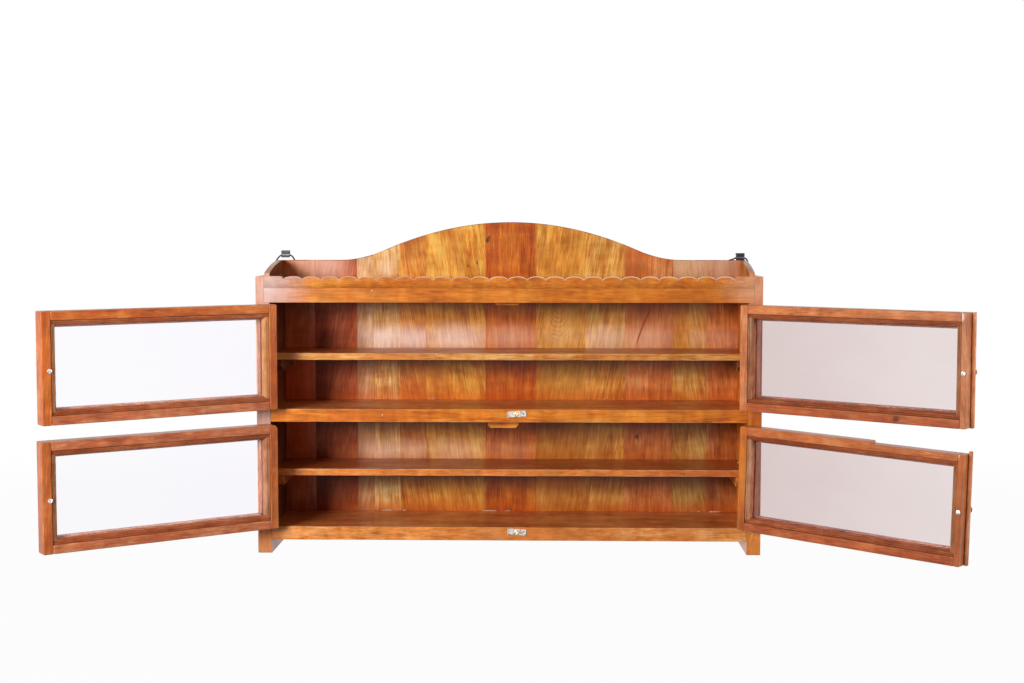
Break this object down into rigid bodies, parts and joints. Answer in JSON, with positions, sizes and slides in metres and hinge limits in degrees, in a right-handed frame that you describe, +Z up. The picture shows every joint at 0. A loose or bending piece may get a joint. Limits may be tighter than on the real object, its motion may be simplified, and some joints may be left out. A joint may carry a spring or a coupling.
{
  "type": "wall cabinet",
  "caption": "Varnished wooden wall cabinet with glazed doors over shelved compartments, a scalloped gallery tray on top and a camel-back plank crest; hangs on wire rings.",
  "frame": {"origin": "on the rear face of the back panel, on the centreline, half way up the middle board", "axes": "+X to the viewer's right, +Y back into the wall, +Z up"},
  "size_m": [1.5502, 0.4722, 0.604],
  "materials": {
    "carcase_wood": "gloss varnish",
    "plank_wood": "gloss varnish",
    "door_wood": "gloss varnish",
    "bead_wood": "satin varnish",
    "clear_glass": "clear",
    "zinc_steel": "zinc plated",
    "nickel_steel": "nickel plated",
    "hinge_brass": "dull",
    "black_metal": "black enamel"
  },
  "bodies": {
    "carcase": {"left_side_panel": "carcase_wood", "right_side_panel": "carcase_wood", "back_panel": "plank_wood", "gallery_front_rail": "carcase_wood", "bottom_board": "carcase_wood", "middle_board": "carcase_wood", "top_board": "carcase_wood", "lower_shelf": "carcase_wood", "upper_shelf": "carcase_wood", "left_lower_shelf_cleat": "carcase_wood", "right_lower_shelf_cleat": "carcase_wood", "left_upper_shelf_cleat": "carcase_wood", "right_upper_shelf_cleat": "carcase_wood", "upper_door_stop": "carcase_wood", "lower_door_stop": "carcase_wood", "left_hanger_plate": "black_metal", "right_hanger_plate": "black_metal", "upper_left_top_hinge_fixed_leaf": "hinge_brass", "upper_left_bottom_hinge_fixed_leaf": "hinge_brass", "upper_right_top_hinge_fixed_leaf": "hinge_brass", "upper_right_bottom_hinge_fixed_leaf": "hinge_brass", "lower_left_top_hinge_fixed_leaf": "hinge_brass", "lower_left_bottom_hinge_fixed_leaf": "hinge_brass", "lower_right_top_hinge_fixed_leaf": "hinge_brass", "lower_right_bottom_hinge_fixed_leaf": "hinge_brass"},
    "upper_left_door": {"upper_left_door_frame": "door_wood", "upper_left_glass": "clear_glass", "upper_left_glazing_bead": "bead_wood", "upper_left_knob": "door_wood", "upper_left_knob_screw": "zinc_steel", "upper_left_top_hinge_moving_leaf": "hinge_brass", "upper_left_bottom_hinge_moving_leaf": "hinge_brass"},
    "upper_right_door": {"upper_right_door_frame": "door_wood", "upper_right_glass": "clear_glass", "upper_right_glazing_bead": "bead_wood", "upper_right_knob": "door_wood", "upper_right_knob_screw": "zinc_steel", "upper_right_top_hinge_moving_leaf": "hinge_brass", "upper_right_bottom_hinge_moving_leaf": "hinge_brass", "upper_right_astragal": "door_wood"},
    "lower_left_door": {"lower_left_door_frame": "door_wood", "lower_left_glass": "clear_glass", "lower_left_glazing_bead": "bead_wood", "lower_left_knob": "door_wood", "lower_left_knob_screw": "zinc_steel", "lower_left_top_hinge_moving_leaf": "hinge_brass", "lower_left_bottom_hinge_moving_leaf": "hinge_brass"},
    "lower_right_door": {"lower_right_door_frame": "door_wood", "lower_right_glass": "clear_glass", "lower_right_glazing_bead": "bead_wood", "lower_right_knob": "door_wood", "lower_right_knob_screw": "zinc_steel", "lower_right_top_hinge_moving_leaf": "hinge_brass", "lower_right_bottom_hinge_moving_leaf": "hinge_brass", "lower_right_astragal": "door_wood"},
    "upper_turn_button": {"upper_turn_button": "nickel_steel"},
    "lower_turn_button": {"lower_turn_button": "nickel_steel"},
    "left_hanger_ring": {"left_hanger_ring": "black_metal"},
    "right_hanger_ring": {"right_hanger_ring": "black_metal"}
  },
  "joints": [
    {"name": "upper_left_door_swing", "type": "hinge", "parent": "carcase", "child": "upper_left_door", "pos_m": [-0.4303, -0.1832, 0], "axis": [0, 0, -1], "range_deg": [-143.3, 26.7]},
    {"name": "upper_right_door_swing", "type": "hinge", "parent": "carcase", "child": "upper_right_door", "pos_m": [0.4303, -0.1832, 0], "axis": [0, 0, 1], "range_deg": [-142.3, 27.7]},
    {"name": "lower_left_door_swing", "type": "hinge", "parent": "carcase", "child": "lower_left_door", "pos_m": [-0.4303, -0.1832, 0], "axis": [0, 0, -1], "range_deg": [-144.3, 25.7]},
    {"name": "lower_right_door_swing", "type": "hinge", "parent": "carcase", "child": "lower_right_door", "pos_m": [0.4303, -0.1832, -0.10775], "axis": [0.0122, 0, 0.9999], "range_deg": [-141.3, 28.7]},
    {"name": "upper_turn_button_turn", "type": "hinge", "parent": "carcase", "child": "upper_turn_button", "pos_m": [0.0157, -0.18, 0.00375], "axis": [0, -1, 0], "continuous": true},
    {"name": "lower_turn_button_turn", "type": "hinge", "parent": "carcase", "child": "lower_turn_button", "pos_m": [0.0157, -0.18, -0.21175], "axis": [0, -1, 0], "continuous": true},
    {"name": "left_hanger_ring_fold", "type": "hinge", "parent": "carcase", "child": "left_hanger_ring", "pos_m": [-0.432, -0.00325, 0.27075], "axis": [-1, 0, 0], "range_deg": [0, 160]},
    {"name": "right_hanger_ring_fold", "type": "hinge", "parent": "carcase", "child": "right_hanger_ring", "pos_m": [0.432, -0.00325, 0.27075], "axis": [-1, 0, 0], "range_deg": [0, 160]}
  ]
}
